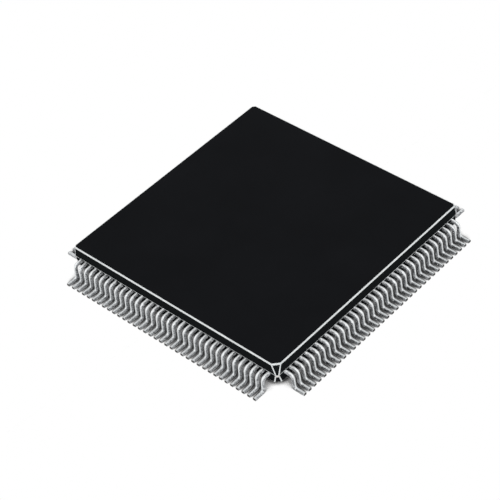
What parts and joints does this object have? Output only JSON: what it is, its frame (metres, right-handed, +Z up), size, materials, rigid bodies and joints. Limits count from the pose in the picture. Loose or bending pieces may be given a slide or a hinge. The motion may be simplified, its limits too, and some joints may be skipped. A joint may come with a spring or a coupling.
{
  "type": "quad flat pack integrated circuit",
  "caption": "Square moulded integrated circuit with a row of gull-wing leads along every side and one wider chamfered index corner, to be soldered flat on a circuit board.",
  "frame": {"origin": "on the board's surface, under the middle of the body", "axes": "+Z up from the board; X and Y along the body's sides; the index corner is at +X -Y"},
  "size_m": [0.0222, 0.0222, 0.0022],
  "materials": {
    "mold_compound": "fine satin, black",
    "tin_plate": "satin tin plate over nickel-iron strip",
    "lead_frame_alloy": "stamped nickel-iron strip",
    "silicon": "polished",
    "silver_adhesive": "cured silver-filled epoxy",
    "gold": "drawn wire"
  },
  "bodies": {
    "root": {"mold_body": "mold_compound", "chip": "silicon", "chip_adhesive": "silver_adhesive", "chip_paddle": "lead_frame_alloy", "leads_south": "tin_plate", "leads_east": "tin_plate", "leads_north": "tin_plate", "leads_west": "tin_plate", "bond_wires_south": "gold", "bond_wires_east": "gold", "bond_wires_north": "gold", "bond_wires_west": "gold"}
  },
  "joints": []
}
